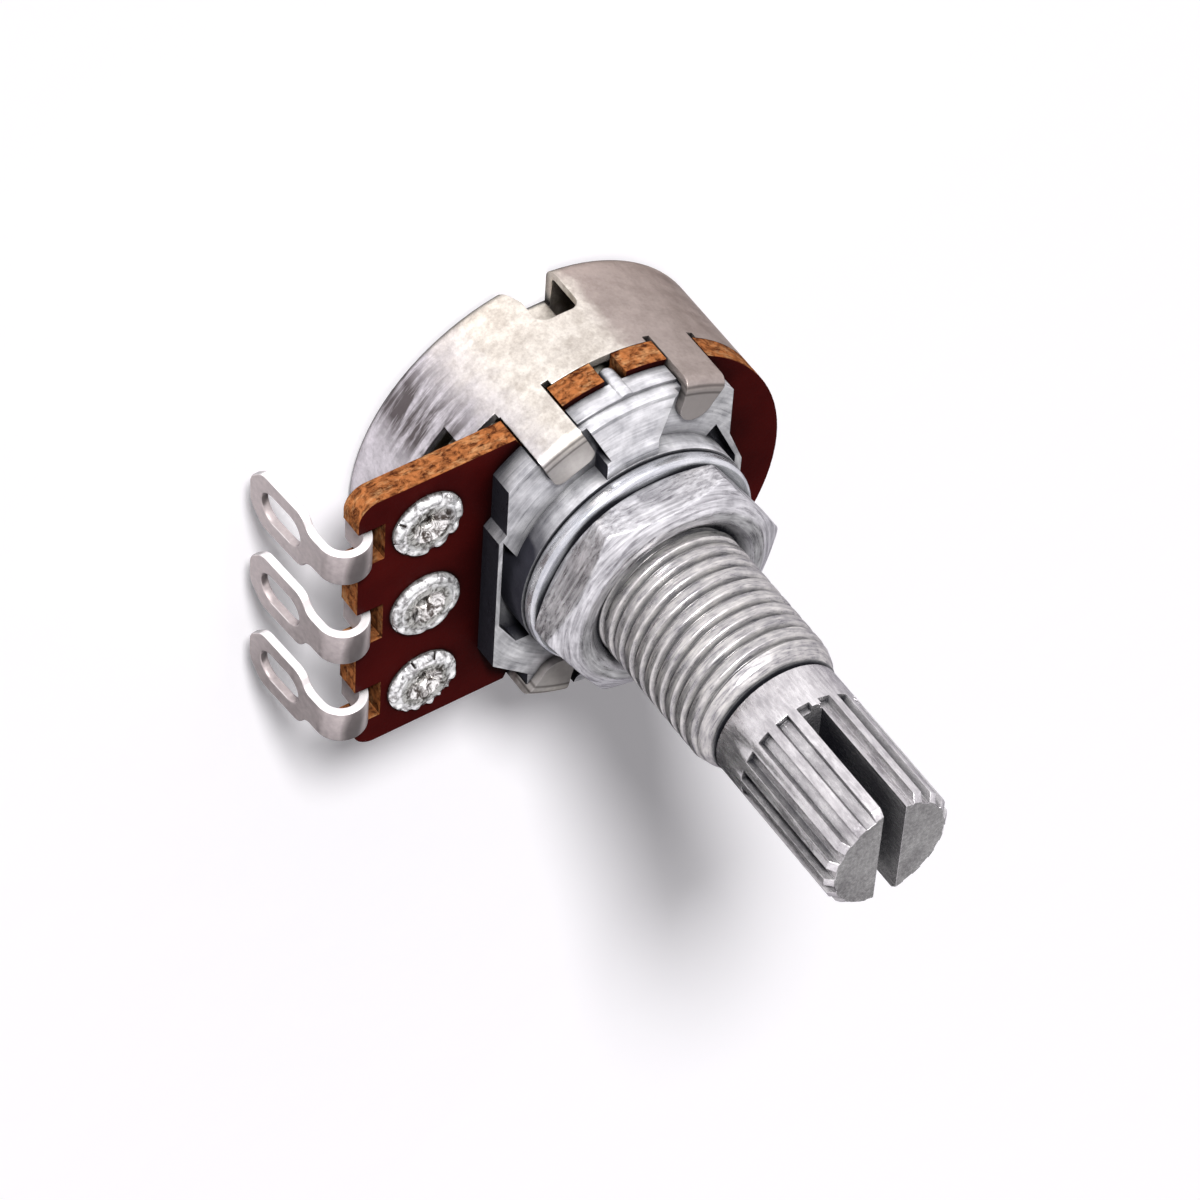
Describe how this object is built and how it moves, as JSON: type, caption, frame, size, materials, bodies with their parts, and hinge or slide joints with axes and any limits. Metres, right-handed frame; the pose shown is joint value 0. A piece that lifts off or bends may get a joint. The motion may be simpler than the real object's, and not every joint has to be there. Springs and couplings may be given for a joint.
{
  "type": "rotary potentiometer",
  "caption": "Panel-mount rotary potentiometer: a round metal can with a tabbed die-cast front, threaded bush with nut and washer, knurled split shaft and bent solder lugs on a fibre board.",
  "frame": {"origin": "centre of the round washer seat on the front plate, on the shaft axis", "axes": "+Z along the shaft towards its tip; -Y towards the solder lugs; +X along the row of lugs"},
  "size_m": [0.0174, 0.0228, 0.0273],
  "materials": {
    "cast_zinc": "satin die-cast zinc",
    "shaft_metal": "satin, machined",
    "thrust_brass": "satin",
    "ring_steel": "dark spring steel",
    "board_phenolic": "dark red lacquered fibre board with raw brown edges",
    "track_carbon": "printed carbon",
    "track_silver": "printed silver",
    "lug_metal": "tinned, satin",
    "rivet_metal": "bright tinned",
    "rotor_plastic": "moulded nylon",
    "wiper_bronze": "spring bronze",
    "can_nickel": "satin nickel plate",
    "washer_zinc": "bright zinc plate",
    "nut_zinc": "zinc plate"
  },
  "bodies": {
    "housing": {"front_plate": "cast_zinc", "terminal_board": "board_phenolic", "resistance_track": "track_carbon", "collector_track": "track_silver", "end_pad_left": "track_silver", "end_pad_right": "track_silver", "lug_left": "lug_metal", "lug_middle": "lug_metal", "lug_right": "lug_metal", "rivet_left": "rivet_metal", "rivet_middle": "rivet_metal", "rivet_right": "rivet_metal", "rear_can": "can_nickel", "panel_washer": "washer_zinc", "panel_nut": "nut_zinc", "thrust_washer": "thrust_brass"},
    "spindle": {"shaft": "shaft_metal", "retaining_ring": "ring_steel", "rotor": "rotor_plastic", "wiper": "wiper_bronze"}
  },
  "joints": [
    {"name": "shaft_turn", "type": "hinge", "parent": "housing", "child": "spindle", "pos_m": [0, 0, 0], "axis": [0, 0, 1], "range_deg": [-150, 150]}
  ]
}
